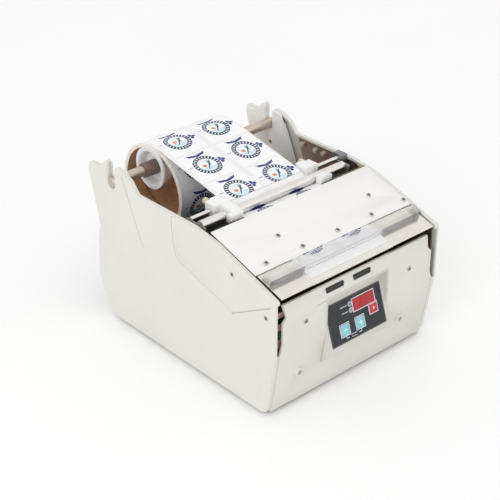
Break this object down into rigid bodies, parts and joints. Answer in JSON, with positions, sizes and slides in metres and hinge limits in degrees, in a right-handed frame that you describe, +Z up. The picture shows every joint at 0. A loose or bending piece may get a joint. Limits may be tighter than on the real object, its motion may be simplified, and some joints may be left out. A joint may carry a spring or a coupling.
{
  "type": "label dispenser",
  "caption": "Desk label dispenser: a roll on a lift-out reel feeds a web under guide rods and over a sloping plate to a peel edge, with a tilted front control panel.",
  "frame": {"origin": "bottom centre of the whole machine, on the table plane under its rubber feet", "axes": "+Z up, +X to the right as the operator sees it, -Y towards the operator, so the control panel and the peel edge face -Y and the reel is at +Y"},
  "size_m": [0.2, 0.264, 0.1675],
  "materials": {
    "cover_white": "painted off-white, satin",
    "panel_white": "painted off-white, satin",
    "sheet_white": "powder-coated white",
    "sheet_steel": "dark zinc sheet",
    "bright_steel": "brushed stainless",
    "screws": "zinc plated",
    "rod_steel": "ground and polished",
    "arm_steel": "zinc plated",
    "reel_shaft": "light grey plastic",
    "collar": "brown sleeve",
    "flange": "translucent white plastic",
    "guide": "white plastic",
    "knob": "beige plastic",
    "bar_clear": "clear acrylic",
    "cardboard": "brown cardboard",
    "label_paper": "white label stock",
    "liner_paper": "release liner",
    "rubber_roll": "dark rubber",
    "pinch_roll": "brown rubber",
    "belt": "black rubber",
    "foot_rubber": "black rubber",
    "pulley": "turned",
    "spool": "black plastic",
    "bush": "sintered bronze",
    "motor": "zinc plated",
    "supply": "perforated case",
    "board": "green solder mask",
    "black_plastic": "black",
    "overlay": "dark grey membrane",
    "display": "red window",
    "key_red": "red",
    "key_cyan": "cyan"
  },
  "bodies": {
    "chassis": {"base_pan": "sheet_steel", "rear_panel": "sheet_steel", "left_side_plate": "sheet_steel", "right_side_plate": "sheet_steel", "left_cover": "cover_white", "right_cover": "cover_white", "left_cheek": "sheet_white", "right_cheek": "sheet_white", "cover_screws": "screws", "reel_tray": "sheet_steel", "paper_bed": "bright_steel", "peel_plate": "bright_steel", "top_plate": "sheet_white", "plate_screws": "screws", "hold_down_bar": "bar_clear", "guide_rod_front": "rod_steel", "guide_rod_rear": "rod_steel", "rod_brackets": "sheet_steel", "feet": "foot_rubber", "motor_bracket": "sheet_steel", "gearmotor": "motor", "drive_belt": "belt", "rewind_belt": "belt", "shaft_bushes": "bush", "power_supply": "supply", "main_board": "board", "power_inlet": "black_plastic", "label_web": "label_paper", "liner_web": "liner_paper"},
    "front_door": {"front_cover": "cover_white", "panel_housing": "panel_white", "panel_overlay": "overlay", "display_module": "display", "control_board": "board", "door_screws": "screws"},
    "start_key": {"start_button": "key_red"},
    "minus_key": {"minus_button": "key_cyan"},
    "plus_key": {"plus_button": "key_cyan"},
    "rocker": {"power_rocker": "black_plastic"},
    "left_guide": {"guide_left": "guide", "guide_knob_left": "knob"},
    "right_guide": {"guide_right": "guide", "guide_knob_right": "knob"},
    "sensor": {"label_sensor": "black_plastic"},
    "pinch": {"pinch_arm": "arm_steel", "pinch_springs": "arm_steel", "pinch_axle": "rod_steel"},
    "pinch_wheel": {"pinch_roller": "pinch_roll"},
    "drive": {"drive_shaft": "rod_steel", "drive_roller": "rubber_roll", "drive_pulleys": "pulley"},
    "spool": {"rewind_spool": "spool"},
    "motor": {"motor_pulley": "pulley"},
    "reel": {"reel_shaft": "reel_shaft", "reel_collars": "collar", "roll_tail": "label_paper"},
    "hubs": {"flange_left": "flange", "flange_right": "flange"},
    "roll": {"cardboard_core": "cardboard", "label_roll": "label_paper"}
  },
  "joints": [
    {"name": "door_hinge", "type": "hinge", "parent": "chassis", "child": "front_door", "pos_m": [0, -0.1084, 0.01], "axis": [1, 0, 0], "range_deg": [0, 65]},
    {"name": "start_press", "type": "slide", "parent": "front_door", "child": "start_key", "axis": [0, 0.9494, -0.314], "range_m": [0, 0.0006], "stiffness_N_per_m": 800, "springref_m": -0.0006},
    {"name": "minus_press", "type": "slide", "parent": "front_door", "child": "minus_key", "axis": [0, 0.9494, -0.314], "range_m": [0, 0.0006], "stiffness_N_per_m": 800, "springref_m": -0.0006},
    {"name": "plus_press", "type": "slide", "parent": "front_door", "child": "plus_key", "axis": [0, 0.9494, -0.314], "range_m": [0, 0.0006], "stiffness_N_per_m": 800, "springref_m": -0.0006},
    {"name": "power_rock", "type": "hinge", "parent": "chassis", "child": "rocker", "pos_m": [0.071, 0.0951, 0.027], "axis": [-1, 0, 0], "range_deg": [0, 12]},
    {"name": "left_guide_slide", "type": "slide", "parent": "chassis", "child": "left_guide", "axis": [-1, 0, 0], "range_m": [0, 0.02]},
    {"name": "right_guide_slide", "type": "slide", "parent": "chassis", "child": "right_guide", "axis": [1, 0, 0], "range_m": [0, 0.02]},
    {"name": "sensor_slide", "type": "slide", "parent": "chassis", "child": "sensor", "axis": [1, 0, 0], "range_m": [-0.03, 0.03]},
    {"name": "pinch_open", "type": "hinge", "parent": "chassis", "child": "pinch", "pos_m": [0, -0.0459, 0.065], "axis": [1, 0, 0], "range_deg": [0, 12], "stiffness_Nm_per_rad": 0.6, "springref_deg": -22.92},
    {"name": "drive_turn", "type": "hinge", "parent": "chassis", "child": "drive", "pos_m": [0, -0.0719, 0.089], "axis": [1, 0, 0], "continuous": true},
    {"name": "pinch_turn", "type": "hinge", "parent": "pinch", "child": "pinch_wheel", "pos_m": [0, -0.0719, 0.0691], "axis": [1, 0, 0], "continuous": true},
    {"name": "spool_turn", "type": "hinge", "parent": "chassis", "child": "spool", "pos_m": [0, -0.0259, 0.093], "axis": [1, 0, 0], "continuous": true},
    {"name": "motor_turn", "type": "hinge", "parent": "chassis", "child": "motor", "pos_m": [0, 0.0041, 0.03], "axis": [1, 0, 0], "continuous": true},
    {"name": "reel_lift", "type": "slide", "parent": "chassis", "child": "reel", "axis": [0, 0, 1], "range_m": [0, 0.026]},
    {"name": "hubs_turn", "type": "hinge", "parent": "reel", "child": "hubs", "pos_m": [0, 0.0899, 0.1454], "axis": [1, 0, 0], "continuous": true},
    {"name": "roll_turn", "type": "hinge", "parent": "reel", "child": "roll", "pos_m": [0, 0.0899, 0.1254], "axis": [1, 0, 0], "continuous": true}
  ],
  "couplings": [
    {"joint": "motor_turn", "follows": "drive_turn", "ratio": 2},
    {"joint": "pinch_turn", "follows": "drive_turn", "ratio": -1.375},
    {"joint": "spool_turn", "follows": "drive_turn", "ratio": 0.71429},
    {"joint": "roll_turn", "follows": "drive_turn", "ratio": 0.26128},
    {"joint": "hubs_turn", "follows": "drive_turn", "ratio": 0.56095}
  ]
}
